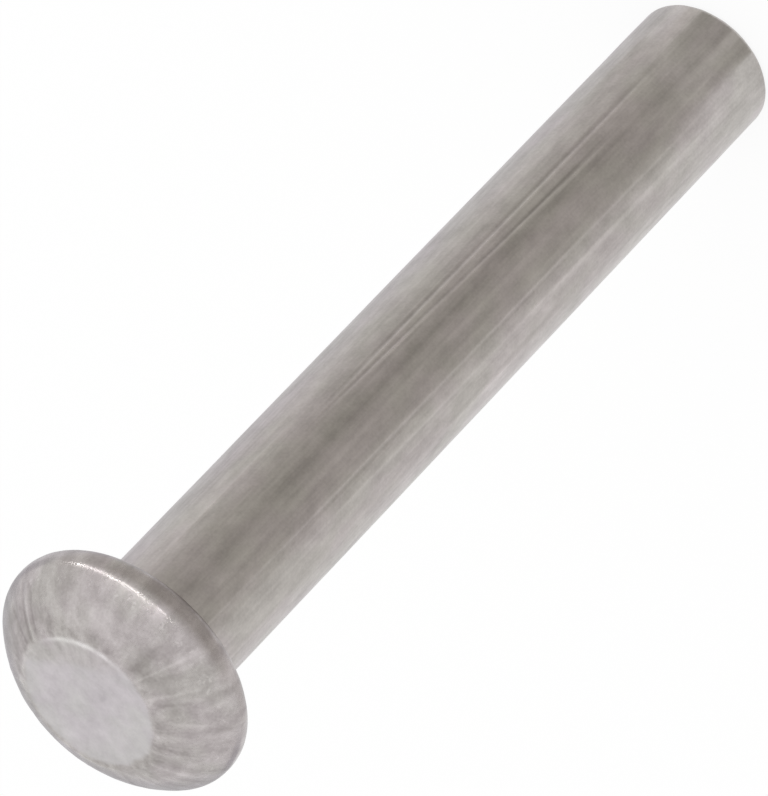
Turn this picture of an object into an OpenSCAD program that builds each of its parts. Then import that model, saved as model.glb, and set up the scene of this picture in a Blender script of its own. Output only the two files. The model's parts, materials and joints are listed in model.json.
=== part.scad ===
// Solid rivet with a round head, upset cold from one length of wire.
// The rivet stands on the sheared end of its shank, with its axis on +Z
// and the origin at the centre of that end. Lengths are in millimetres.

/* [Shank] */
// Diameter of the shank
shank_d = 6; // [5:0.1:7]
// Length of the shank, from its sheared end to the bearing face under the head
shank_len = 40; // [10:1:60]
// Radius that shearing rolls over round the end of the shank
shank_end_r = 0.25; // [0.1:0.05:0.6]

/* [Head] */
// Diameter of the head over its rim
head_d = 10.7; // [9.8:0.1:12]
// Height of the head over its bearing face
head_h = 3; // [2.6:0.1:3.8]
// Diameter of the flat that the upsetting punch leaves on the crown
crown_d = 5.9; // [4.6:0.1:6.6]
// Radius that softens the edge of the crown flat
crown_edge_r = 0.1625; // [0.1:0.0125:0.6]
// Radius of the domed flank between the crown and the rim
flank_r = 4.85; // [4:0.05:9]

/* [Rim] */
// Height of the straight band round the rim
rim_band_h = 0.1; // [0.05:0.05:0.4]
// Radius of the rim's upper edge, between the band and the flank
rim_top_r = 0.85; // [0.3:0.05:1]
// Radius of the rim's lower edge, between the band and the bearing face
rim_under_r = 0.75; // [0.3:0.05:0.85]

/* [Neck] */
// Radius of the fillet between the shank and the bearing face
neck_r = 0.3; // [0.1:0.05:0.5]

/* [Hidden] */
metal_colour = "#B4AFAB";
// Facets of a full circle in the preview
$fn = 128;

// Radii of the shank and the head, from the axis
shank_radius = shank_d / 2;
head_radius = head_d / 2;

// Centres of the shank's small rounds, as [distance from the axis, height over the shank's end]
end_centre = [shank_radius - shank_end_r, shank_end_r];
neck_centre = [shank_radius + neck_r, shank_len - neck_r];

// Centres of the head's small rounds, as [distance from the axis, height over the bearing face]
under_centre = [head_radius - rim_under_r, rim_under_r];
rim_centre = [head_radius - rim_top_r, rim_under_r + rim_band_h];
crown_centre = [crown_d / 2, head_h - crown_edge_r];

// The flank is one arc that runs tangent into the rim's round and the crown's
flank_centre = inner_tangent_centre(
    rim_centre, flank_r - rim_top_r, crown_centre, flank_r - crown_edge_r);
flank_low = on_arc(flank_centre, flank_r, rim_centre);
flank_high = on_arc(flank_centre, flank_r, crown_centre);

// Point at distance reach_p from p and reach_q from q, to the left of the way from p to q
function inner_tangent_centre(p, reach_p, q, reach_q) =
    let (
        gap = norm(q - p),
        along = (q - p) / gap,
        left = [-along.y, along.x],
        run = (reach_p ^ 2 - reach_q ^ 2 + gap ^ 2) / (2 * gap)
    )
    p + run * along + sqrt(reach_p ^ 2 - run ^ 2) * left;

// Point of the arc round centre that lies in the direction of a second point
function on_arc(centre, radius, towards) =
    centre + radius * (towards - centre) / norm(towards - centre);

// Slice of a disc between its arc and the chord from start to finish,
// with the arc on the right of the way from start to finish
module bulge(centre, radius, start, finish) {
    along = (finish - start) / norm(finish - start);
    right = [along.y, -along.x];
    intersection() {
        translate(centre) circle(r = radius);
        polygon([start, finish, finish + radius * right, start + radius * right]);
    }
}

// Half section of the shank, standing on its end, with the fillet under the head
module shank_section() {
    end_flat_edge = [end_centre.x, 0];
    end_side_edge = [shank_radius, end_centre.y];
    difference() {
        polygon([
            [0, 0], end_flat_edge, end_side_edge,
            [shank_radius, neck_centre.y], [neck_centre.x, shank_len], [0, shank_len]
        ]);
        translate(neck_centre) circle(r = neck_r);
    }
    bulge(end_centre, shank_end_r, end_flat_edge, end_side_edge);
}

// Half section of the head, standing on its bearing face
module head_section() {
    under_edge = [under_centre.x, 0];
    band_low = [head_radius, under_centre.y];
    band_high = [head_radius, rim_centre.y];
    crown_edge = [crown_centre.x, head_h];
    polygon([
        [0, 0], under_edge, band_low, band_high,
        flank_low, flank_high, crown_edge, [0, head_h]
    ]);
    bulge(under_centre, rim_under_r, under_edge, band_low);
    bulge(rim_centre, rim_top_r, band_high, flank_low);
    bulge(flank_centre, flank_r, flank_low, flank_high);
    bulge(crown_centre, crown_edge_r, flank_high, crown_edge);
}

// The whole rivet is one upset piece, turned from its half section
module rivet() {
    color(metal_colour)
    rotate_extrude() {
        shank_section();
        translate([0, shank_len]) head_section();
    }
}

rivet();
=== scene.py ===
"""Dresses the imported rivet: one drawn, cropped and upset piece of bare aluminium."""

import json
import logging
import math
from dataclasses import dataclass
from enum import Enum
from typing import Any, Dict, List, Optional, Sequence, Tuple

import bpy
from mathutils import Matrix, Vector


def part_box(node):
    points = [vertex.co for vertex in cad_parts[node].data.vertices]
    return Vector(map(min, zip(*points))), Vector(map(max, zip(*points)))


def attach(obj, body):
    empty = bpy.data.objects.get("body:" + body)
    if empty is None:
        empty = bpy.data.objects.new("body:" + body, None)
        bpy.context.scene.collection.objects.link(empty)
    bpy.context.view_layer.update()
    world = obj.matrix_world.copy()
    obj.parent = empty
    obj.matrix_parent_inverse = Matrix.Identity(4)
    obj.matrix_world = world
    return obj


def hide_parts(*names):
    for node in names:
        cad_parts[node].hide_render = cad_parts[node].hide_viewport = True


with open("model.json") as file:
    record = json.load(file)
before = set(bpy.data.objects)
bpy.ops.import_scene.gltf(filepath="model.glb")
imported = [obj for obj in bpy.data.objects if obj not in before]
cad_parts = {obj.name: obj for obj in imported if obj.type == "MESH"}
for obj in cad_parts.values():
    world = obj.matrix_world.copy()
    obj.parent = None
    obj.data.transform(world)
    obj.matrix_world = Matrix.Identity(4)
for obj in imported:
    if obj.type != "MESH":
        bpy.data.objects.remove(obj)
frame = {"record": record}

LOG = logging.getLogger("rivet")

MM = 0.001
MICRON = 1e-6

# The noise's middle values, its scale for marks of unit size, and the gap between two shifts
NOISE_RANGE = (0.3, 0.7)
NOISE_SCALE = 0.5
NOISE_STEP = 7.3

Point = Tuple[float, float]
Socket = bpy.types.NodeSocket
Tree = bpy.types.NodeTree


def linear(colour: str) -> Tuple[float, float, float, float]:
    """Turn an sRGB hex colour into linear red, green, blue and a full alpha.

    Args:
        colour: the colour as "#RRGGBB".

    Returns:
        The linear colour that a shader socket takes.
    """
    channels = [int(colour[i : i + 2], 16) / 255 for i in (1, 3, 5)]
    red, green, blue = (
        c / 12.92 if c <= 0.04045 else ((c + 0.055) / 1.055) ** 2.4 for c in channels
    )
    return red, green, blue, 1.0


def add_node(
    tree: Tree,
    kind: str,
    settings: Optional[Dict[str, Any]] = None,
    inputs: Optional[Dict[Any, Any]] = None,
) -> bpy.types.Node:
    """Add one node with its settings and its inputs.

    Args:
        tree: the node tree that gets the node.
        kind: Blender's name for the kind of node.
        settings: the node's own properties, by name.
        inputs: a socket to link from, or a plain value, for each input name or number.

    Returns:
        The new node.
    """
    node = tree.nodes.new(kind)
    for name, value in (settings or {}).items():
        setattr(node, name, value)
    for key, value in (inputs or {}).items():
        if isinstance(value, Socket):
            tree.links.new(value, node.inputs[key])
        else:
            node.inputs[key].default_value = value
    return node


def combine(tree: Tree, operation: str, *terms: Any) -> Socket:
    """Work sockets and numbers together, from the first to the last.

    Args:
        tree: the tree to build in.
        operation: the sum that joins each term to the result so far.
        terms: the sockets and numbers.

    Returns:
        The socket with the result.
    """
    result = terms[0]
    for term in terms[1:]:
        joined = add_node(
            tree, "ShaderNodeMath", {"operation": operation}, {0: result, 1: term}
        )
        result = joined.outputs[0]
    return result


def stretch(
    tree: Tree,
    value: Socket,
    given: Tuple[Any, Any],
    wanted: Tuple[Any, Any],
    clamped: bool = True,
    smooth: bool = False,
) -> Socket:
    """Stretch one range of values onto another.

    Args:
        tree: the tree to build in.
        value: the socket with the value.
        given: the range that the value has.
        wanted: the range that the result has.
        clamped: whether the result stays inside that range.
        smooth: whether the result leaves and reaches its ends gently.

    Returns:
        The socket with the result.
    """
    settings: Dict[str, Any] = {"clamp": clamped}
    if smooth:
        settings["interpolation_type"] = "SMOOTHSTEP"
    ranges = {
        "From Min": given[0],
        "From Max": given[1],
        "To Min": wanted[0],
        "To Max": wanted[1],
    }
    return add_node(
        tree, "ShaderNodeMapRange", settings, {"Value": value, **ranges}
    ).outputs[0]


def rise(tree: Tree, value: Socket, start: float, end: float) -> Socket:
    """Make a gentle step from 0 at the start to 1 at the end.

    Args:
        tree: the tree to build in.
        value: what is measured.
        start: the value at which the step is 0.
        end: the value at which it is 1, which may be lower than the start.

    Returns:
        The socket with the step.
    """
    if start < end:
        return stretch(tree, value, (start, end), (0.0, 1.0), smooth=True)
    return stretch(tree, value, (end, start), (1.0, 0.0), smooth=True)


def hump(tree: Tree, value: Socket, middle: Any, width: float) -> Socket:
    """Make a rounded hump, 1 at the middle and near 0 two widths away.

    Args:
        tree: the tree to build in.
        value: what is measured.
        middle: where the hump stands.
        width: its half width.

    Returns:
        The socket with the hump.
    """
    offset = combine(tree, "SUBTRACT", value, middle)
    share = combine(tree, "MULTIPLY", offset, 1 / width)
    square = combine(tree, "MULTIPLY", share, share)
    return combine(tree, "POWER", math.exp(-1), square)


@dataclass(frozen=True)
class Texture:
    """One irregular pattern, whose marks have a real size.

    The size is a mark's width, and its length along Z. The depth is the relief that the
    pattern gives, the shift keeps it unlike all others, and the detail is how many finer
    layers it has.
    """

    size: Point
    depth: float = 1.0
    shift: float = 0.0
    detail: float = 3.0


def grain(tree: Tree, place: Socket, texture: Texture) -> Socket:
    """Make an irregular pattern, about -1 to 1.

    Args:
        tree: the tree to build in.
        place: the position that the pattern follows.
        texture: the pattern's size, shift and detail.

    Returns:
        The socket with the pattern.
    """
    across, along = texture.size
    scaled = add_node(
        tree,
        "ShaderNodeVectorMath",
        {"operation": "MULTIPLY_ADD"},
        {0: place, 1: (1 / across, 1 / across, 1 / along), 2: (NOISE_STEP * texture.shift,) * 3},
    )
    pattern = add_node(
        tree,
        "ShaderNodeTexNoise",
        {},
        {"Vector": scaled.outputs[0], "Scale": NOISE_SCALE, "Detail": texture.detail},
    )
    return stretch(tree, pattern.outputs[0], NOISE_RANGE, (-1.0, 1.0), clamped=False)


def direction(azimuth: float, elevation: float) -> Vector:
    """Give the way from the rivet towards a place in the studio.

    Args:
        azimuth: degrees round the axis, 0 towards the camera and 90 towards +X.
        elevation: degrees above the floor.

    Returns:
        The unit vector.
    """
    turn, lift = math.radians(azimuth), math.radians(elevation)
    level = math.cos(lift)
    return Vector((math.sin(turn) * level, -math.cos(turn) * level, math.sin(lift)))


def add_object(name: str, data: bpy.types.ID) -> bpy.types.Object:
    """Put an object in the scene, at the origin.

    Args:
        name: the object's name.
        data: its mesh, curve, lamp or camera.

    Returns:
        The object.
    """
    made = bpy.data.objects.new(name, data)
    bpy.context.scene.collection.objects.link(made)
    return made


def new_material(name: str) -> Tuple[bpy.types.Material, Tree]:
    """Start a material.

    Args:
        name: the material's name.

    Returns:
        The material and its empty tree.
    """
    made = bpy.data.materials.new(name)
    made.use_nodes = True
    made.node_tree.nodes.clear()
    return made, made.node_tree


class Zone(Enum):
    """The parts of the skin that were made in different ways, and what their shares are called."""

    FLANK = "flank_share"
    CROWN = "crown_share"
    CROPPED = "cropped_share"
    LIP = "lip_share"


class Track(Enum):
    """What a mark runs along: the shank's length, or the head from its axis to its rim."""

    SHANK = "height"
    HEAD = "radius"


@dataclass(frozen=True)
class Mark:
    """One line that drawing or upsetting left in the skin.

    The line runs from its start to its end, each given as (place on the track, azimuth).
    A height above 0 stands proud, and one below 0 is cut in.
    """

    start: Point
    end: Point
    width: float
    height: float
    track: Track


def marks(track: Track, *rows: Tuple[float, ...]) -> Tuple[Mark, ...]:
    """Make the marks of one table.

    Args:
        track: what the marks run along.
        rows: for each mark its start in mm and degrees, its end in mm and degrees, its
            width in mm, and its height in micrometres.

    Returns:
        The marks.
    """
    return tuple(
        Mark((start * MM, turn), (end * MM, end_turn), width * MM, height * MICRON, track)
        for start, turn, end, end_turn, width, height in rows
    )


@dataclass(frozen=True)
class Finish:
    """How one zone of the metal looks: its tones, its gloss and its grain.

    The gloss is the roughness of its brightest and of its darkest places. The shares say
    how much of the tone comes from streaks, clouds, blotches, fine grain and relief.
    """

    dark: str
    light: str
    gloss: Point
    streak: Texture
    shares: Tuple[float, float, float, float, float]
    depth: float
    flowing: bool


@dataclass(frozen=True)
class Lip:
    """One stretch of raised edge round the crown, burnished by the punch, along which the lip
    finish paints a highlight.
    """

    radius: float
    azimuth: float
    spread: float
    width: float
    share: float


# Lines from the drawing die run the length of the shank, some of them at a slight slant
DIE_MARKS = marks(
    Track.SHANK,
    (27, 23.5, 9, 12.0, 0.075, 16),
    (27, 25.8, 9, 14.4, 0.07, -9),
    (27, 27.5, 5, 25.0, 0.075, 14),
    (24, 30.0, 5, 28.0, 0.09, -9),
    (20, 19.5, 8, 16.0, 0.07, -8),
    (37, -20.5, 6, -24.5, 0.08, 5),
    (36, -22.5, 10, -26.0, 0.1, -4),
    (38, -4.5, 12, -3.5, 0.09, 6),
    (39, 8.0, 7, 10.5, 0.2, -9),
    (31, -34.0, 6, -38.5, 0.12, 9),
    (38, 41.0, 29, 40.0, 0.09, 9),
    (24, -57.0, 18, -58.0, 0.1, 8),
    (36, 118.0, 11, 122.0, 0.08, 10),
    (30, 97.0, 4, 94.0, 0.1, -8),
    (37, 151.0, 7, 148.0, 0.08, -9),
    (33, 167.0, 14, 163.0, 0.07, 11),
    (35, -96.0, 8, -99.0, 0.09, 10),
    (38, -143.0, 5, -137.0, 0.07, -9),
)

# Folds and cracks in the skin of the head, where upsetting spread it outwards
FLOW_MARKS = marks(
    Track.HEAD,
    (3.2, -11.0, 4.9, -16.0, 0.06, 17),
    (3.3, -15.5, 4.5, -20.0, 0.1, -9),
    (3.2, -2.0, 4.0, -6.0, 0.14, -9),
    (3.3, -27.0, 4.8, -32.0, 0.07, 9),
    (0.6, -12.0, 1.25, 1.0, 0.15, -14),
    (2.7, -105.0, 3.3, -109.0, 0.2, -17),
    (1.8, 116.0, 2.5, 120.0, 0.2, 9),
    (2.3, 100.0, 2.8, 102.0, 0.16, -8),
    (3.2, 86.0, 5.0, 83.0, 0.09, -15),
    (3.2, 79.0, 4.8, 76.0, 0.08, -12),
    (3.3, 82.5, 5.0, 79.5, 0.07, 12),
    (3.2, 92.0, 4.6, 94.0, 0.1, -12),
    (3.6, 40.0, 4.3, 47.0, 0.12, 10),
    (3.1, -70.0, 4.0, -72.0, 0.12, -12),
    (3.4, -47.0, 4.7, -52.0, 0.08, 9),
    (3.2, -33.0, 4.4, -37.0, 0.09, -10),
    (3.3, 132.0, 4.8, 137.0, 0.08, 11),
    (3.2, 158.0, 4.3, 161.0, 0.1, -12),
    (3.4, -128.0, 4.9, -133.0, 0.09, -12),
    (3.2, -157.0, 4.2, -160.0, 0.08, 10),
)

# Broad shallow swells and hollows of the flank, duller or brighter than the skin round them
SWELLS = marks(
    Track.HEAD,
    (3.3, -20.0, 4.5, -20.0, 1.0, -12),
    (3.5, -3.0, 4.5, -3.0, 0.5, -8),
    (3.6, 28.0, 4.4, 28.0, 0.9, 15),
    (3.6, 50.0, 4.6, 50.0, 0.9, 10),
    (3.2, 86.0, 4.6, 88.0, 0.5, -6),
    (3.2, 106.0, 4.6, 106.0, 0.9, -15),
    (3.1, -91.0, 4.0, -93.0, 0.7, -14),
    (3.4, -40.0, 4.6, -40.0, 0.5, -6),
    (3.5, 150.0, 4.5, 155.0, 0.7, 8),
    (3.3, -150.0, 4.3, -146.0, 0.8, -9),
)


@dataclass
class Section:
    """Half section of the rivet, from the centre of the cropped end to the centre of the crown.

    Lengths are in metres, and each point is (distance from the axis, height).
    """

    shank_radius: float
    shank_length: float
    head_height: float
    head_radius: float
    end_round: float = 0.25 * MM
    neck_round: float = 0.3 * MM
    under_round: float = 0.75 * MM
    band_height: float = 0.1 * MM
    rim_round: float = 0.85 * MM
    flank_round: float = 4.85 * MM
    crown_radius: float = 2.95 * MM
    crown_round: float = 0.1625 * MM
    cropped_length: float = 4 * MM
    fine_start: float = 3.5 * MM
    fine_end: float = 2.35 * MM

    @staticmethod
    def arc(
        centre: Point, radius: float, start: float, end: float, steps: int
    ) -> List[Point]:
        """Give points along an arc, without its first one.

        Args:
            centre: the arc's centre.
            radius: the arc's radius.
            start: the first angle in radians, from the outward direction.
            end: the last angle in radians.
            steps: how many points.

        Returns:
            The points.
        """
        turns = [start + (end - start) * (i + 1) / steps for i in range(steps)]
        return [
            (centre[0] + radius * math.cos(t), centre[1] + radius * math.sin(t))
            for t in turns
        ]

    @staticmethod
    def line(start: Point, end: Point, steps: int) -> List[Point]:
        """Give points along a straight stretch, without its first one.

        Args:
            start: where the stretch starts.
            end: where it ends.
            steps: how many points.

        Returns:
            The points.
        """
        shares = [(i + 1) / steps for i in range(steps)]
        return [
            (start[0] + (end[0] - start[0]) * s, start[1] + (end[1] - start[1]) * s)
            for s in shares
        ]

    def rim_centre(self) -> Point:
        """Give the centre of the round between the band and the flank."""
        height = self.shank_length + self.under_round + self.band_height
        return self.head_radius - self.rim_round, height

    def flank_centre(self) -> Point:
        """Give the centre of the flank's arc, which is tangent to the rim's round and the crown's.

        Returns:
            The centre.
        """
        rim = Vector(self.rim_centre())
        top = self.shank_length + self.head_height
        crown = Vector((self.crown_radius, top - self.crown_round))
        reach_rim = self.flank_round - self.rim_round
        reach_crown = self.flank_round - self.crown_round
        gap = (crown - rim).length
        along = (crown - rim) / gap
        left = Vector((-along.y, along.x))
        run = (reach_rim**2 - reach_crown**2 + gap**2) / (2 * gap)
        centre = rim + run * along + math.sqrt(reach_rim**2 - run**2) * left
        return centre.x, centre.y

    def points(self) -> List[Point]:
        """Give the whole half section, with the flank's dome carried on above the crown's flat.

        Returns:
            The points, closest together where the skin has its finest forms.
        """
        quarter = math.pi / 2
        radius, neck = self.shank_radius, self.shank_length
        rim, flank = self.rim_centre(), self.flank_centre()
        rim_turn = math.atan2(rim[1] - flank[1], rim[0] - flank[0])
        fine_turn, last_turn = (
            math.acos((r - flank[0]) / self.flank_round)
            for r in (self.fine_start, self.fine_end)
        )
        # The last number of each stretch is how many points it gets
        end_centre = (radius - self.end_round, self.end_round)
        neck_centre = (radius + self.neck_round, neck - self.neck_round)
        under = (self.head_radius - self.under_round, neck + self.under_round)
        made = [(0.0, 0.0)]
        made += self.line(made[-1], (end_centre[0], 0.0), 8)
        made += self.arc(end_centre, self.end_round, -quarter, 0, 5)
        made += self.line(made[-1], (radius, self.cropped_length), 10)
        made += self.line(made[-1], (radius, neck_centre[1]), 46)
        made += self.arc(neck_centre, self.neck_round, 2 * quarter, quarter, 5)
        made += self.line(made[-1], (under[0], neck), 4)
        made += self.arc(under, self.under_round, -quarter, 0, 8)
        made += self.line(made[-1], (self.head_radius, rim[1]), 1)
        made += self.arc(rim, self.rim_round, 0, rim_turn, 10)
        made += self.arc(flank, self.flank_round, rim_turn, fine_turn, 26)
        made += self.arc(flank, self.flank_round, fine_turn, last_turn, 30)
        made += self.line(made[-1], (0.0, made[-1][1]), 22)
        return made


@dataclass(frozen=True)
class Crown:
    """The crown as the punch left it: off centre, ragged, tilted, lipped and scuffed on one side.

    Inside its reach the punch pressed the dome flat. On the scuffed side only a share of
    that smooth face is left. The lip is broken up, down to the first share of lip_shares.
    """

    centre: Point = (0.18 * MM, -0.02 * MM)
    reach: float = 2.9 * MM
    blend: float = 0.13 * MM
    tilt: float = 0.02
    edge_rise: Point = (2.0 * MM, 3.0 * MM)
    press_blend: float = 10 * MICRON
    scuffed_azimuth: float = 51.0
    scuffed_from: float = 1.85 * MM
    scuffed_share: float = 0.3
    lips: Sequence[Lip] = (
        Lip(2.83 * MM, 32.0, 24.0, 0.12 * MM, 1.25),
        Lip(2.89 * MM, 60.0, 14.0, 0.08 * MM, 0.6),
        Lip(2.95 * MM, 106.0, 16.0, 0.1 * MM, 0.4),
    )
    lip_height: float = 14 * MICRON
    broken_range: Point = (-0.9, 0.2)
    lip_shares: Point = (0.55, 1.0)
    edge: Texture = Texture((0.8 * MM, 0.8 * MM), 14 * MICRON, 6.0, 3.0)
    dents: Texture = Texture((0.6 * MM, 0.6 * MM), 3 * MICRON, 7.0)
    scuffs: Texture = Texture((0.3 * MM, 0.3 * MM), 6 * MICRON, 8.0)
    ragged: Texture = Texture((0.34 * MM, 0.34 * MM), 70 * MICRON, 12.0, 4.0)
    broken: Texture = Texture((0.22 * MM, 0.22 * MM), 1.0, 13.0)


@dataclass
class Rivet:
    """The rivet's one piece: its turned form, and the marks that drawing and upsetting left.

    A pair that ends in "rise" or "fall" holds the heights between which a part of the rivet
    begins or stops, over the neck, or over the floor for the cropped end.
    """

    section: Section
    crown: Crown = Crown()
    turns: int = 560
    weld: float = 0.4 * MICRON
    sunk: float = 17 * MICRON
    proudest: float = 12 * MICRON
    waves: Texture = Texture((2.4 * MM, 5 * MM), 6 * MICRON, 1.0, 2.0)
    draws: Texture = Texture((0.34 * MM, 12 * MM), 3 * MICRON, 2.0, 2.0)
    flows: Texture = Texture((0.42 * MM, 2.4 * MM), 8 * MICRON, 3.0, 2.0)
    dents: Texture = Texture((0.4 * MM, 0.4 * MM), 5 * MICRON, 4.0, 2.0)
    crops: Texture = Texture((1.5 * MM, 1.9 * MM), 16 * MICRON, 5.0, 2.0)
    head_dents: float = 0.5
    fringe_dents: float = 1.8
    mark_fade: float = 0.2
    tears: Point = (0.16 * MM, 2.2 * MM)
    tear_depth: float = 22 * MICRON
    sway_scale: float = 0.6 / MM
    sway: float = 0.9 * MM
    fringe_radius: float = 3.16 * MM
    fringe_width: float = 0.22 * MM
    fringe_shares: Point = (0.4, 1.0)
    # The band round the rim in which bright specks are painted as glints
    rim_glint_radius: float = 4.95 * MM
    rim_glint_width: float = 0.2 * MM
    flank_rise: Point = (0.8 * MM, 1.5 * MM)
    head_rise: Point = (-0.4 * MM, 0.4 * MM)
    shank_fall: Point = (0.1 * MM, -0.5 * MM)
    under_fall: Point = (0.7 * MM, 0.3 * MM)
    end_fall: Point = (0.2 * MM, 0.02 * MM)
    near_end_fall: Point = (6 * MM, 1 * MM)
    shown_share: float = 0.4
    relief_unit: float = 20 * MICRON
    # How dark the painted shade under the head is, in units of relief
    neck_shade: float = 0.9

    def profile_object(self) -> bpy.types.Object:
        """Draw the half section as a curve in the XZ plane.

        Returns:
            The curve's object.
        """
        points = self.section.points()
        curve = bpy.data.curves.new("rivet_section", "CURVE")
        curve.dimensions = "3D"
        spline = curve.splines.new("POLY")
        spline.points.add(len(points) - 1)
        for drawn, (radius, height) in zip(spline.points, points):
            drawn.co = (radius, 0.0, height, 1.0)
        return add_object("rivet_section", curve)

    @staticmethod
    def store(
        tree: Tree, piece: Socket, name: str, value: Socket, kind: str = "FLOAT"
    ) -> Socket:
        """Keep a value of each point under a name, for the finish to read.

        Args:
            tree: the tree to build in.
            piece: the socket with the mesh.
            name: the value's name.
            value: the socket with the value.
            kind: whether it is a number or a vector.

        Returns:
            The socket with the mesh.
        """
        return add_node(
            tree,
            "GeometryNodeStoreNamedAttribute",
            {"data_type": kind, "domain": "POINT"},
            {"Geometry": piece, "Name": name, "Value": value},
        ).outputs[0]

    def turn_section(self, tree: Tree, given: Any) -> Socket:
        """Turn the section round the axis, with its seam and its two poles closed.

        Args:
            tree: the tree to build in.
            given: the tree's inputs.

        Returns:
            The socket with the turned mesh, which carries the metal's own direction as "flow".
        """
        count = add_node(
            tree,
            "GeometryNodeAttributeDomainSize",
            {"component": "CURVE"},
            {"Geometry": given["Section"]},
        ).outputs["Point Count"]
        spokes = combine(tree, "ADD", given["Turns"], 1.0)
        grid = add_node(
            tree,
            "GeometryNodeMeshGrid",
            {},
            {"Vertices X": count, "Vertices Y": spokes},
        ).outputs["Mesh"]
        index = add_node(tree, "GeometryNodeInputIndex").outputs[0]
        row = combine(tree, "DIVIDE", index, spokes)
        station = add_node(
            tree, "ShaderNodeMath", {"operation": "FLOOR"}, {0: row}
        ).outputs[0]
        spoke = combine(tree, "FLOORED_MODULO", index, spokes)
        share = combine(tree, "DIVIDE", spoke, given["Turns"])
        turn = combine(tree, "MULTIPLY", share, 2 * math.pi)
        cosine, sine = (
            add_node(tree, "ShaderNodeMath", {"operation": kind}, {0: turn}).outputs[0]
            for kind in ("COSINE", "SINE")
        )
        place = add_node(tree, "GeometryNodeInputPosition").outputs[0]
        length = add_node(tree, "GeometryNodeSplineParameter").outputs["Length"]
        drawn, run = (
            add_node(
                tree,
                "GeometryNodeSampleIndex",
                {"data_type": kind, "domain": "POINT"},
                {"Geometry": given["Section"], "Value": value, "Index": station},
            ).outputs[0]
            for kind, value in (("FLOAT_VECTOR", place), ("FLOAT", length))
        )
        point = add_node(tree, "ShaderNodeSeparateXYZ", {}, {0: drawn}).outputs
        turned, flow = (
            add_node(
                tree,
                "ShaderNodeCombineXYZ",
                {},
                {
                    "X": combine(tree, "MULTIPLY", reach, cosine),
                    "Y": combine(tree, "MULTIPLY", reach, sine),
                    "Z": height,
                },
            ).outputs[0]
            for reach, height in ((point["X"], point["Z"]), (given["Shank radius"], run))
        )
        marked = self.store(tree, grid, "flow", flow, "FLOAT_VECTOR")
        moved = add_node(
            tree,
            "GeometryNodeSetPosition",
            {},
            {"Geometry": marked, "Position": turned},
        ).outputs[0]
        closed = add_node(
            tree,
            "GeometryNodeMergeByDistance",
            {},
            {"Geometry": moved, "Distance": self.weld},
        ).outputs[0]
        return add_node(tree, "GeometryNodeFlipFaces", {}, {"Mesh": closed}).outputs[0]

    def measure(self, tree: Tree, given: Any) -> Dict[str, Socket]:
        """Measure where each point lies, and how far it belongs to each part of the rivet.

        Args:
            tree: the tree to build in.
            given: the tree's inputs.

        Returns:
            The sockets by what they measure. Azimuths are in degrees, 0 towards -Y.
        """
        position = add_node(tree, "GeometryNodeInputPosition").outputs[0]
        at = add_node(tree, "ShaderNodeSeparateXYZ", {}, {0: position}).outputs
        squares = [combine(tree, "MULTIPLY", at[axis], at[axis]) for axis in "XY"]
        radius = combine(tree, "POWER", combine(tree, "ADD", *squares), 0.5)
        towards = combine(tree, "MULTIPLY", at["Y"], -1.0)
        turned = combine(tree, "ARCTAN2", at["X"], towards)
        over_neck = combine(tree, "SUBTRACT", at["Z"], given["Neck height"])
        beside = [
            combine(tree, "SUBTRACT", at[axis], middle)
            for axis, middle in zip("XY", self.crown.centre)
        ]
        areas = [combine(tree, "MULTIPLY", side, side) for side in beside]
        crown_radius = combine(tree, "POWER", combine(tree, "ADD", *areas), 0.5)
        facing = direction(self.crown.scuffed_azimuth, 0)
        towards_scuffs = combine(
            tree,
            "ADD",
            combine(tree, "MULTIPLY", at["X"], facing.x),
            combine(tree, "MULTIPLY", at["Y"], facing.y),
        )
        sideways = combine(tree, "DIVIDE", squares[0], combine(tree, "ADD", *squares))
        on_flank = rise(tree, over_neck, *self.flank_rise)
        fringe = combine(
            tree,
            "MULTIPLY",
            on_flank,
            hump(tree, crown_radius, self.fringe_radius, self.fringe_width),
            stretch(tree, sideways, (0.0, 1.0), self.fringe_shares),
        )
        return {
            "crown_radius": crown_radius,
            "towards_scuffs": towards_scuffs,
            "position": position,
            "x": at["X"],
            "y": at["Y"],
            "height": at["Z"],
            "radius": radius,
            "azimuth": combine(tree, "MULTIPLY", turned, 180 / math.pi),
            "head": rise(tree, over_neck, *self.head_rise),
            "flank": on_flank,
            "shank": rise(tree, over_neck, *self.shank_fall),
            "end": rise(tree, at["Z"], *self.end_fall),
            "near_end": rise(tree, at["Z"], *self.near_end_fall),
            "under": rise(tree, over_neck, *self.under_fall),
            "frost": hump(tree, radius, self.rim_glint_radius, self.rim_glint_width),
            "fringe": fringe,
        }

    def mark_relief(self, tree: Tree, at: Dict[str, Socket], mark: Mark) -> Socket:
        """Raise one mark, or cut it in.

        Args:
            tree: the tree to build in.
            at: the measures of each point.
            mark: the mark.

        Returns:
            The socket with the mark's height.
        """
        along = at[mark.track.value]
        start, end = mark.start[0], mark.end[0]
        fade = self.mark_fade * (end - start)
        middle = stretch(
            tree, along, (start, end), (mark.start[1], mark.end[1]), clamped=False
        )
        on_shank = mark.track is Track.SHANK
        reach = self.section.shank_radius if on_shank else (start + end) / 2
        return combine(
            tree,
            "MULTIPLY",
            hump(tree, at["azimuth"], middle, math.degrees(mark.width / reach)),
            rise(tree, along, start - fade, start + fade),
            rise(tree, along, end + fade, end - fade),
            at["shank"] if on_shank else at["flank"],
            mark.height,
        )

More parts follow.
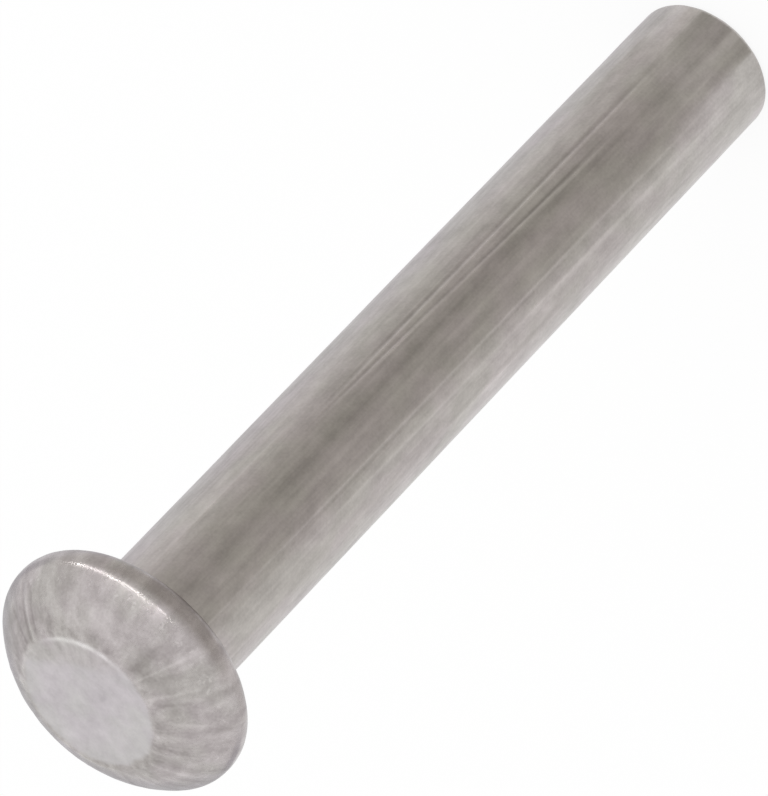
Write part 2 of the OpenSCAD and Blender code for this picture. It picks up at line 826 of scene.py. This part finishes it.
    def relief(
        self, tree: Tree, given: Any, at: Dict[str, Socket]
    ) -> Tuple[Socket, Socket]:
        """Gather every mark in the skin, apart from those on the crown.

        Args:
            tree: the tree to build in.
            given: the tree's inputs.
            at: the measures of each point.

        Returns:
            The sockets with the marks, and the painted shade under the head, that show in the
            metal's tone, and with the height of the whole skin over the turned form.
        """
        own_flow = add_node(
            tree,
            "GeometryNodeInputNamedAttribute",
            {"data_type": "FLOAT_VECTOR"},
            {"Name": "flow"},
        ).outputs[0]
        sway = add_node(
            tree,
            "ShaderNodeTexNoise",
            {},
            {"Vector": at["position"], "Scale": self.sway_scale, "Detail": 1.0},
        ).outputs["Color"]
        swayed = add_node(
            tree,
            "ShaderNodeVectorMath",
            {"operation": "MULTIPLY_ADD"},
            {0: sway, 1: (self.sway,) * 3, 2: own_flow},
        ).outputs[0]
        fringed = combine(tree, "MULTIPLY", at["fringe"], self.fringe_dents)
        ring = combine(tree, "ADD", fringed, self.head_dents)
        on_head = combine(tree, "MULTIPLY", at["head"], ring)
        layers = (
            (self.waves, at["position"], given["Waviness"], 1.0),
            (self.draws, own_flow, given["Drawing"], at["shank"]),
            (self.flows, swayed, given["Upsetting"], at["flank"]),
            (self.dents, at["position"], given["Upsetting"], on_head),
            (self.crops, at["position"], given["Cropping"], at["near_end"]),
        )
        heights = [
            combine(
                tree,
                "MULTIPLY",
                grain(tree, place, layer),
                layer.depth,
                strength,
                share,
            )
            for layer, place, strength, share in layers
        ]
        across = add_node(
            tree,
            "ShaderNodeVectorMath",
            {"operation": "MULTIPLY"},
            {0: at["position"], 1: (0.5 / self.tears[0], 0.5 / self.tears[1], 0.0)},
        ).outputs[0]
        torn = add_node(
            tree, "ShaderNodeTexNoise", {}, {"Vector": across, "Scale": 1.0, "Detail": 3.0}
        ).outputs[0]
        tears = combine(
            tree, "MULTIPLY", torn, -self.tear_depth, given["Cropping"], at["end"]
        )
        marks = combine(
            tree,
            "ADD",
            *(
                self.mark_relief(tree, at, mark)
                for mark in DIE_MARKS + FLOW_MARKS + SWELLS
            ),
        )
        flowing, dented = (
            combine(tree, "MULTIPLY", height, self.shown_share) for height in heights[2:4]
        )
        # Painted shade: the tone is darkened on the head's underside and on the shank just below
        # it
        painted_neck_shade = combine(
            tree, "MULTIPLY", at["under"], at["head"], -self.neck_shade * self.relief_unit
        )
        shown = combine(tree, "ADD", marks, flowing, dented, tears, painted_neck_shade)
        whole = combine(tree, "ADD", *heights, tears, marks)
        return shown, combine(tree, "MINIMUM", whole, self.proudest)

    def press_crown(
        self, tree: Tree, raised: Socket, given: Any, at: Dict[str, Socket]
    ) -> Socket:
        """Press the dome flat: what stands over the punch's face is brought down to it.

        Args:
            tree: the tree to build in.
            raised: the socket with the mesh, whose dome is whole.
            given: the tree's inputs.
            at: the measures of each point.

        Returns:
            The socket with the mesh.
        """
        crown = self.crown
        reach = at["crown_radius"]
        edge, dents, scuffs, ragged, broken = (
            combine(
                tree,
                "MULTIPLY",
                grain(tree, at["position"], layer),
                layer.depth,
            )
            for layer in (
                crown.edge,
                crown.dents,
                crown.scuffs,
                crown.ragged,
                crown.broken,
            )
        )
        crests = [
            combine(
                tree,
                "MULTIPLY",
                hump(tree, reach, lip.radius, lip.width),
                hump(tree, at["azimuth"], lip.azimuth, lip.spread),
                lip.share,
            )
            for lip in crown.lips
        ]
        lip = combine(
            tree,
            "MULTIPLY",
            combine(tree, "ADD", *crests),
            stretch(tree, broken, crown.broken_range, crown.lip_shares),
        )
        frayed = combine(tree, "ADD", reach, ragged)
        inner = crown.reach - crown.blend
        outer = crown.reach + crown.blend
        strayed = combine(tree, "ADD", at["towards_scuffs"], ragged, ragged)
        scuffed = rise(
            tree,
            strayed,
            crown.scuffed_from - 2 * crown.blend,
            crown.scuffed_from + 2 * crown.blend,
        )
        whole = stretch(tree, scuffed, (0.0, 1.0), (1.0, crown.scuffed_share))
        pressed = combine(tree, "MULTIPLY", rise(tree, frayed, outer, inner), whole)
        sloping = combine(tree, "MAXIMUM", at["towards_scuffs"], 0.0)
        face = combine(
            tree,
            "ADD",
            given["Crown height"],
            -2 * crown.lip_height,
            combine(tree, "MULTIPLY", lip, crown.lip_height),
            combine(tree, "MULTIPLY", sloping, -crown.tilt),
            combine(tree, "MULTIPLY", edge, rise(tree, reach, *crown.edge_rise)),
            dents,
            combine(tree, "MULTIPLY", scuffs, scuffed),
        )
        for name, value in ((Zone.CROWN.value, pressed), (Zone.LIP.value, lip)):
            share = combine(tree, "MULTIPLY", value, at["flank"])
            raised = self.store(tree, raised, name, share)
        lowered = add_node(
            tree,
            "ShaderNodeMath",
            {"operation": "SMOOTH_MIN"},
            {0: at["height"], 1: face, 2: crown.press_blend},
        ).outputs[0]
        under_top = combine(tree, "MINIMUM", lowered, given["Crown height"])
        over_floor = combine(tree, "MAXIMUM", under_top, 0.0)
        place = add_node(
            tree,
            "ShaderNodeCombineXYZ",
            {},
            {"X": at["x"], "Y": at["y"], "Z": over_floor},
        ).outputs[0]
        return add_node(
            tree,
            "GeometryNodeSetPosition",
            {},
            {"Geometry": raised, "Position": place},
        ).outputs[0]

    def upsetting_tree(self, material: bpy.types.Material) -> Tree:
        """Build the tree that turns the section and raises the marks of its making.

        Args:
            material: the finish that the piece gets.

        Returns:
            The Geometry Nodes tree.
        """
        tree = bpy.data.node_groups.new("drawn_and_upset", "GeometryNodeTree")
        face = tree.interface
        face.new_socket("Section", in_out="INPUT", socket_type="NodeSocketGeometry")
        for name, value in self.inputs().items():
            kind = "NodeSocketInt" if isinstance(value, int) else "NodeSocketFloat"
            face.new_socket(name, in_out="INPUT", socket_type=kind)
        face.new_socket("Rivet", in_out="OUTPUT", socket_type="NodeSocketGeometry")
        given = add_node(tree, "NodeGroupInput").outputs
        piece = self.turn_section(tree, given)
        at = self.measure(tree, given)
        shown, height = self.relief(tree, given, at)
        for name, value in (
            ("relief", combine(tree, "MULTIPLY", shown, 1 / self.relief_unit)),
            ("fringe", at["fringe"]),
            ("frost", at["frost"]),
            (Zone.CROPPED.value, at["end"]),
            (Zone.FLANK.value, at["head"]),
        ):
            piece = self.store(tree, piece, name, value)
        normal = add_node(tree, "GeometryNodeInputNormal").outputs[0]
        lift = add_node(
            tree,
            "ShaderNodeVectorMath",
            {"operation": "SCALE"},
            {0: normal, "Scale": combine(tree, "SUBTRACT", height, self.sunk)},
        ).outputs[0]
        piece = add_node(
            tree,
            "GeometryNodeSetPosition",
            {},
            {"Geometry": piece, "Offset": lift},
        ).outputs[0]
        piece = self.press_crown(tree, piece, given, at)
        for kind, inputs in (
            ("GeometryNodeSetShadeSmooth", {}),
            ("GeometryNodeRealizeInstances", {}),
            ("GeometryNodeSetMaterial", {"Material": material}),
        ):
            piece = add_node(tree, kind, {}, {0: piece, **inputs}).outputs[0]
        add_node(tree, "NodeGroupOutput", {}, {"Rivet": piece})
        return tree

    def inputs(self) -> Dict[str, Any]:
        """Give the tree's inputs.

        Returns:
            The values by name: sizes in metres, and how strong each kind of mark is.
        """
        section = self.section
        return {
            "Turns": self.turns,
            "Shank radius": section.shank_radius,
            "Neck height": section.shank_length,
            "Crown height": section.shank_length + section.head_height,
            "Waviness": 1.0,
            "Drawing": 1.0,
            "Upsetting": 1.0,
            "Cropping": 1.0,
        }

    def build(self, material: bpy.types.Material) -> bpy.types.Object:
        """Make the finished piece and put it on the frame.

        Args:
            material: the finish of the piece.

        Returns:
            The piece's object.
        """
        drawn = self.profile_object()
        tree = self.upsetting_tree(material)
        modifier = drawn.modifiers.new("upset", "NODES")
        modifier.node_group = tree
        values = self.inputs()
        for item in tree.interface.items_tree:
            if item.in_out == "INPUT" and item.name in values:
                modifier[item.identifier] = values[item.name]
        evaluated = drawn.evaluated_get(bpy.context.evaluated_depsgraph_get())
        mesh = bpy.data.meshes.new_from_object(evaluated, preserve_all_data_layers=True)
        drawn.modifiers.clear()
        bpy.data.objects.remove(drawn)
        mesh.name = "rivet_body"
        # The tree leaves an empty slot before the material's own, and one slot is enough
        mesh.materials.clear()
        mesh.materials.append(material)
        mesh.polygons.foreach_set("material_index", [0] * len(mesh.polygons))
        piece = add_object("rivet_body", mesh)
        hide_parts("rivet")
        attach(piece, "root")
        return piece


@dataclass(frozen=True)
class BareAluminium:
    """Bare soft aluminium, cold drawn and cold upset, never polished or coated.

    The eye sees a grey satin metal: long faint streaks and cloudy blotches along the drawn
    shank, a frosty flank with fine radial flow, and a smoother, cooler crown where the
    punch pressed it. Its grain is finer than a tenth of a millimetre, and is drawn at that
    size so that it shows.
    """

    shank: Finish = Finish(
        dark="#A09B99",
        light="#CEC9C7",
        gloss=(0.27, 0.37),
        streak=Texture((0.08 * MM, 5 * MM), shift=1.0),
        shares=(0.14, 0.11, 0.19, 0.11, 0.7),
        depth=1.3 * MICRON,
        flowing=True,
    )
    flank: Finish = Finish(
        dark="#979190",
        light="#CBC6C5",
        gloss=(0.21, 0.33),
        streak=Texture((0.15 * MM, 1.4 * MM), shift=2.0),
        shares=(0.19, 0.15, 0.22, 0.12, 0.5),
        depth=1.6 * MICRON,
        flowing=True,
    )
    crown: Finish = Finish(
        dark="#B8B4B6",
        light="#CFCBCD",
        gloss=(0.36, 0.44),
        streak=Texture((0.22 * MM, 0.5 * MM), shift=3.0),
        shares=(0.16, 0.12, 0.26, 0.12, 0.5),
        depth=1.4 * MICRON,
        flowing=False,
    )
    cropped: Finish = Finish(
        dark="#9A9492",
        light="#CFC9C7",
        gloss=(0.30, 0.50),
        streak=Texture((0.1 * MM, 0.1 * MM), shift=4.0),
        shares=(0.3, 0.15, 0.2, 0.15, 0.5),
        depth=3.0 * MICRON,
        flowing=False,
    )
    # Painted highlight: the lip's light tones stand for light catching the raised edge, and its
    # low roughness is the punch's burnish
    lip: Finish = Finish(
        dark="#CFCBCB",
        light="#E8E5E5",
        gloss=(0.24, 0.30),
        streak=Texture((0.1 * MM, 0.1 * MM), shift=5.0),
        shares=(0.2, 0.2, 0.2, 0.1, 0.0),
        depth=1.0 * MICRON,
        flowing=False,
    )
    cloud: Texture = Texture((0.8 * MM, 1.7 * MM), shift=10.0, detail=2.0)
    blotch: Texture = Texture((0.26 * MM, 0.5 * MM), shift=5.0)
    fine: Texture = Texture((0.06 * MM, 0.06 * MM), shift=6.0, detail=2.0)
    patches: Texture = Texture((0.5 * MM, 0.5 * MM), shift=11.0, detail=1.0)
    burrs: Texture = Texture((0.11 * MM, 0.11 * MM), shift=12.0, detail=2.0)
    cast: Texture = Texture((0.8 * MM, 1.5 * MM), shift=9.0, detail=2.0)
    burr_rise: Point = (0.4, 1.1)
    # How bright the painted glints on the rim's burrs are
    burr_glint: float = 0.85
    patch_range: Point = (-0.8, 0.6)
    fringe_shares: Point = (1.0, 0.1)
    blotch_range: Point = (-0.7, 0.7)
    fringe_tones: Point = (-1.0, 0.3)
    cast_range: Point = (-0.5, 0.5)
    skin_shares: Tuple[float, float, float] = (0.4, 0.5, 0.35)
    lilac_cast: str = "#FFFDFE"
    green_cast: str = "#FCFDFA"
    tone_range: Point = (-0.62, 0.62)

    def layer(
        self, tree: Tree, finish: Finish, own: Dict[str, Socket]
    ) -> Dict[str, Socket]:
        """Make one zone's colour, roughness and surface height.

        Args:
            tree: the material's tree.
            finish: the zone's finish.
            own: the piece's own place, flow and relief, and the patterns that all zones share.

        Returns:
            The sockets by what they hold.
        """
        path = own["flow"] if finish.flowing else own["place"]
        streaks = grain(tree, path, finish.streak)
        blotches, fine = own["blotch"], own["fine"]
        patterns = (streaks, own["cloud"], blotches, fine, own["relief"])
        sums = [
            combine(tree, "MULTIPLY", value, share)
            for value, share in zip(patterns, finish.shares)
        ]
        raw = combine(tree, "ADD", *sums)
        tone = stretch(tree, raw, self.tone_range, (0.0, 1.0))
        colour = add_node(
            tree,
            "ShaderNodeMix",
            {"data_type": "RGBA"},
            {0: tone, 6: linear(finish.dark), 7: linear(finish.light)},
        ).outputs[2]
        low, high = finish.gloss
        skin = [
            combine(tree, "MULTIPLY", value, share)
            for value, share in zip((streaks, blotches, fine), self.skin_shares)
        ]
        height = combine(tree, "MULTIPLY", combine(tree, "ADD", *skin), finish.depth)
        return {
            "colour": colour,
            "rough": stretch(tree, raw, self.tone_range, (high, low)),
            "height": height,
        }

    def patterns(self, tree: Tree) -> Dict[str, Socket]:
        """Read what the mesh carries, and make the patterns that all zones share.

        Args:
            tree: the material's tree.

        Returns:
            The sockets by name.
        """
        own = {"place": add_node(tree, "ShaderNodeTexCoord").outputs["Object"]}
        for name, output in (
            ("flow", "Vector"),
            ("relief", "Fac"),
            ("fringe", "Fac"),
            ("frost", "Fac"),
        ):
            own[name] = add_node(
                tree, "ShaderNodeAttribute", {"attribute_name": name}
            ).outputs[output]
        # The fringe round the crown is broken up and darker than the flank outside it
        own["cloud"] = grain(tree, own["place"], self.cloud)
        own["blotch"] = grain(tree, own["place"], self.blotch)
        own["fine"] = grain(tree, own["place"], self.fine)
        patches = grain(tree, own["place"], self.patches)
        fringed = combine(
            tree,
            "MULTIPLY",
            own["fringe"],
            stretch(tree, patches, self.patch_range, self.fringe_shares),
            stretch(tree, own["blotch"], self.blotch_range, self.fringe_tones),
        )
        # Small burrs stand round the rim, where the die closed on it. Their bright tone is a
        # painted glint in a band round the rim, and they are glossier too
        burrs = rise(tree, grain(tree, own["place"], self.burrs), *self.burr_rise)
        painted_burr_glints = combine(tree, "MULTIPLY", own["frost"], burrs, self.burr_glint)
        own["relief"] = combine(tree, "ADD", own["relief"], fringed, painted_burr_glints)
        return own

    def zones(self, tree: Tree, own: Dict[str, Socket]) -> Dict[str, Socket]:
        """Lay the finishes of all zones over the shank's.

        Args:
            tree: the material's tree.
            own: the piece's own place, flow and relief, and the patterns that all zones share.

        Returns:
            The sockets of colour, roughness and surface height.
        """
        result = self.layer(tree, self.shank, own)
        for zone, finish in (
            (Zone.FLANK, self.flank),
            (Zone.CROWN, self.crown),
            (Zone.CROPPED, self.cropped),
            (Zone.LIP, self.lip),
        ):
            share = add_node(
                tree, "ShaderNodeAttribute", {"attribute_name": zone.value}
            ).outputs["Fac"]
            over = self.layer(tree, finish, own)
            for key, kind, sockets in (
                ("colour", "RGBA", (6, 7, 2)),
                ("rough", "FLOAT", (2, 3, 0)),
                ("height", "FLOAT", (2, 3, 0)),
            ):
                first, second, out = sockets
                result[key] = add_node(
                    tree,
                    "ShaderNodeMix",
                    {"data_type": kind},
                    {0: share, first: result[key], second: over[key]},
                ).outputs[out]
        return result

    def material(self) -> bpy.types.Material:
        """Build the material.

        Returns:
            The finished material.
        """
        made, tree = new_material("bare_drawn_aluminium")
        own = self.patterns(tree)
        result = self.zones(tree, own)
        # A thin natural oxide gives the grey a faint lilac or green cast from place to place
        cast_share = stretch(
            tree, grain(tree, own["place"], self.cast), self.cast_range, (0.0, 1.0)
        )
        cast = add_node(
            tree,
            "ShaderNodeMix",
            {"data_type": "RGBA"},
            {0: cast_share, 6: linear(self.lilac_cast), 7: linear(self.green_cast)},
        ).outputs[2]
        colour = add_node(
            tree,
            "ShaderNodeMix",
            {"data_type": "RGBA", "blend_type": "MULTIPLY"},
            {0: 1.0, 6: result["colour"], 7: cast},
        ).outputs[2]
        bump = add_node(
            tree,
            "ShaderNodeBump",
            {},
            {"Strength": 1.0, "Distance": 1.0, "Height": result["height"]},
        )
        shader = add_node(
            tree,
            "ShaderNodeBsdfPrincipled",
            {},
            {
                "Base Color": colour,
                "Metallic": 1.0,
                "Roughness": result["rough"],
                "Normal": bump.outputs[0],
            },
        )
        add_node(tree, "ShaderNodeOutputMaterial", {}, {"Surface": shader.outputs[0]})
        return made


@dataclass
class Camera:
    """The camera, at the angle and distance from which the rivet is shown."""

    elevation: float = 37.24
    axis_in_picture: float = 133.73
    neck_in_view: Tuple[float, float, float] = (-9.193 * MM, 9.670 * MM, 320.49 * MM)
    focal_length_px: float = 8614.55
    picture_height_px: float = 796.0
    sensor: float = 36.0

    def build(self, neck: Vector) -> bpy.types.Object:
        """Place the camera so that the neck and the axis fall where they should in the picture.

        Args:
            neck: the centre of the bearing face, where the shank meets the head.

        Returns:
            The camera's object.
        """
        lift = math.radians(self.elevation)
        roll = math.radians(self.axis_in_picture)
        ahead = Vector((0, math.cos(lift), -math.sin(lift)))
        level = Vector((1, 0, 0))
        upward = Vector((0, math.sin(lift), math.cos(lift)))
        right = -math.sin(roll) * level + math.cos(roll) * upward
        down = math.cos(roll) * level + math.sin(roll) * upward
        x, y, z = self.neck_in_view
        place = neck - x * right - y * down - z * ahead
        data = bpy.data.cameras.new("studio_camera")
        data.sensor_fit = "AUTO"
        data.sensor_width = self.sensor
        data.lens = self.focal_length_px * self.sensor / self.picture_height_px
        data.clip_start, data.clip_end = 0.01, 10.0
        made = add_object("studio_camera", data)
        turned = Matrix((right, -down, -ahead)).transposed().to_4x4()
        made.matrix_world = Matrix.Translation(place) @ turned
        bpy.context.scene.camera = made
        return made


@dataclass(frozen=True)
class Card:
    """One piece of grey card round the camera, between two azimuths and two distances."""

    name: str
    sides: Point
    reach: Point
    tone: str
    walled: bool = False


@dataclass(frozen=True)
class StripLamp:
    """A long narrow soft box. Each end is (azimuth, elevation, distance) from the head."""

    name: str = "rim_strip"
    ends: Sequence[Tuple[float, float, float]] = ((90, -1, 0.35), (9, 35, 0.46))
    width: float = 0.01
    power: float = 0.18


@dataclass
class Studio:
    """A white floor in white surroundings, grey cards on the camera's side, and a strip lamp."""

    lamp: StripLamp = StripLamp()
    floor_size: float = 3.0
    floor_tone: str = "#F8F8F8"
    floor_glow: float = 0.88
    card_lift: float = 0.05 * MM
    card_steps: int = 12
    wall_reach: float = 75 * MM
    wall_height: float = 93 * MM
    wall_fade: float = 15 * MM
    cards: Sequence[Card] = (
        Card("card_middle", (-44, 8), (5.2 * MM, 75 * MM), "#C6C3BE", True),
        Card("card_dark", (8, 27), (5.2 * MM, 75 * MM), "#B9B6B0", True),
        Card("card_right", (27, 62), (5.2 * MM, 75 * MM), "#C9C6C1", True),
        Card("card_side", (62, 84), (3 * MM, 75 * MM), "#E0DEDB", True),
        Card("card_edge", (84, 108), (7.5 * MM, 75 * MM), "#EEEDEB", True),
        Card("card_left", (-62, -44), (5.2 * MM, 75 * MM), "#E2E0DD", True),
        Card("card_far_left", (-118, -62), (8.5 * MM, 75 * MM), "#F4F3F2"),
        Card("card_far", (114, 176), (0.1 * MM, 75 * MM), "#EFEEF1"),
        Card("card_behind", (114, 246), (76 * MM, 500 * MM), "#D8D7DB"),
        Card("foot_gap", (-40, 62), (3.4 * MM, 5.2 * MM), "#D8D6D2"),
        Card("foot_left", (-40, -10), (0.1 * MM, 3.4 * MM), "#C8C6C1"),
        Card("foot_middle", (-10, 6), (0.1 * MM, 3.4 * MM), "#D6D4D0"),
        Card("foot_right", (6, 62), (0.1 * MM, 3.4 * MM), "#BEBCB7"),
        Card("foot_side", (62, 88), (0.1 * MM, 3 * MM), "#ECEAE7"),
        Card("foot_edge", (84, 118), (3 * MM, 7.5 * MM), "#E0DEDB"),
    )

    @staticmethod
    def white_rays(tree: Tree) -> Socket:
        """Tell the rays of the camera, of gloss and of glass from all others.

        Args:
            tree: the tree to build in.

        Returns:
            The socket, 1 for such a ray and 0 for any other.
        """
        path = add_node(tree, "ShaderNodeLightPath").outputs
        kinds = ("Is Camera Ray", "Is Glossy Ray", "Is Transmission Ray")
        return combine(tree, "MAXIMUM", *(path[kind] for kind in kinds))

    def build_world(self) -> None:
        """Make the surroundings plain white."""
        world = bpy.data.worlds.new("white_studio")
        world.use_nodes = True
        tree = world.node_tree
        tree.nodes.clear()
        glow = add_node(
            tree, "ShaderNodeBackground", {}, {"Color": (1, 1, 1, 1), "Strength": 1.0}
        )
        add_node(tree, "ShaderNodeOutputWorld", {}, {"Surface": glow.outputs[0]})
        bpy.context.scene.world = world

    def floor_material(self) -> bpy.types.Material:
        """Make the floor's pale matt board, which stays white round the rivet's soft shadow.

        Returns:
            The material.
        """
        made, tree = new_material("pale_matt_board")
        matt = add_node(
            tree, "ShaderNodeBsdfDiffuse", {}, {"Color": linear(self.floor_tone)}
        )
        glow = add_node(
            tree, "ShaderNodeEmission", {}, {"Color": (1, 1, 1, 1), "Strength": 1.0}
        )
        share = combine(tree, "MULTIPLY", self.white_rays(tree), self.floor_glow)
        mixed = add_node(
            tree,
            "ShaderNodeMixShader",
            {},
            {0: share, 1: matt.outputs[0], 2: glow.outputs[0]},
        )
        add_node(tree, "ShaderNodeOutputMaterial", {}, {"Surface": mixed.outputs[0]})
        return made

    def build_floor(self) -> None:
        """Lay the floor, level with the rivet's end."""
        half = self.floor_size / 2
        mesh = bpy.data.meshes.new("floor")
        corners = [(-half, -half, 0), (half, -half, 0), (half, half, 0), (-half, half, 0)]
        mesh.from_pydata(corners, [], [(0, 1, 2, 3)])
        mesh.materials.append(self.floor_material())
        add_object("floor", mesh)

    def card_material(self, card: Card) -> bpy.types.Material:
        """Make a card's grey, which fades to white up its wall so that no edge shows in the metal.

        Args:
            card: the card.

        Returns:
            The material.
        """
        made, tree = new_material(card.name)
        place = add_node(tree, "ShaderNodeTexCoord").outputs["Object"]
        height = add_node(tree, "ShaderNodeSeparateXYZ", {}, {0: place}).outputs["Z"]
        fade = stretch(tree, height, (self.wall_fade, self.wall_height), (0.0, 1.0))
        tone = add_node(
            tree,
            "ShaderNodeMix",
            {"data_type": "RGBA"},
            {0: fade, 6: linear(card.tone), 7: (1, 1, 1, 1)},
        ).outputs[2]
        glow = add_node(
            tree, "ShaderNodeEmission", {}, {"Color": tone, "Strength": 1.0}
        )
        add_node(tree, "ShaderNodeOutputMaterial", {}, {"Surface": glow.outputs[0]})
        return made

    def build_card(self, card: Card, shank_radius: float) -> None:
        """Lay one grey card, which only the metal's gloss sees.

        Args:
            card: the card.
            shank_radius: distances are measured from the shank's skin.
        """
        steps = self.card_steps
        corners: List[Tuple[float, float, float]] = []
        levels = [(reach, self.card_lift) for reach in card.reach]
        if card.walled:
            levels.append((self.wall_reach, self.wall_height))
        for i in range(steps + 1):
            turn = card.sides[0] + (card.sides[1] - card.sides[0]) * i / steps
            foot = direction(turn / 2, 0) * shank_radius
            for reach, height in levels:
                spot = foot + direction(turn, 0) * reach
                corners.append((spot.x, spot.y, height))
        rows = len(levels)
        faces = [
            (i * rows + j, i * rows + j + 1, (i + 1) * rows + j + 1, (i + 1) * rows + j)
            for i in range(steps)
            for j in range(rows - 1)
        ]
        mesh = bpy.data.meshes.new(card.name)
        mesh.from_pydata(corners, [], faces)
        mesh.materials.append(self.card_material(card))
        made = add_object(card.name, mesh)
        made.visible_camera = False
        made.visible_diffuse = False
        made.visible_shadow = False
        made.visible_transmission = False

    def build_lamp(self, head: Vector) -> None:
        """Hang the strip lamp between its two ends, facing the rivet's head.

        Args:
            head: the middle of the head.
        """
        start, end = (
            head + direction(azimuth, elevation) * distance
            for azimuth, elevation, distance in self.lamp.ends
        )
        data = bpy.data.lights.new(self.lamp.name, "AREA")
        data.shape = "RECTANGLE"
        data.size = (end - start).length
        data.size_y = self.lamp.width
        data.energy = self.lamp.power
        # Some cards stand before the lamp and would hide part of it from the metal's gloss
        data.cycles.use_multiple_importance_sampling = False
        middle = (start + end) / 2
        along = (end - start).normalized()
        away = middle - head
        back = (away - away.dot(along) * along).normalized()
        turned = Matrix((along, back.cross(along), back)).transposed().to_4x4()
        lamp = add_object(self.lamp.name, data)
        lamp.matrix_world = Matrix.Translation(middle) @ turned

    def build(self, shank_radius: float, head: Vector) -> None:
        """Set up the whole studio.

        Args:
            shank_radius: the shank's radius, from which the cards start.
            head: the middle of the head, which the lamp faces.
        """
        self.build_world()
        self.build_floor()
        for card in self.cards:
            self.build_card(card, shank_radius)
        self.build_lamp(head)
        LOG.info("studio: floor, %d cards and a strip lamp", len(self.cards))


def mount(record: Dict[str, Any], name: str) -> Dict[str, Any]:
    """Find one of the record's mounts by its name."""
    return next(m for m in record["mounts"] if m["name"] == name)


def main() -> None:
    """Build the camera, the rivet and the studio, in that order."""
    logging.basicConfig(level=logging.INFO, format="%(name)s: %(message)s")
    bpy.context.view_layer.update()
    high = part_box("rivet")[1]
    record = frame["record"]
    neck = mount(record, "head_bearing_face")["pos_m"][2]
    section = Section(
        shank_radius=mount(record, "shank")["dims"]["r_mm"] * MM,
        shank_length=neck,
        head_height=high.z - neck,
        head_radius=high.x,
    )
    Camera().build(Vector((0, 0, neck)))
    piece = Rivet(section).build(BareAluminium().material())
    triangles = sum(len(face.vertices) - 2 for face in piece.data.polygons)
    LOG.info("%s: %d triangles", piece.name, triangles)
    Studio().build(section.shank_radius, Vector((0, 0, neck + section.head_height / 2)))
    bpy.context.scene.view_settings.view_transform = "Standard"


if __name__ == "__main__":
    main()
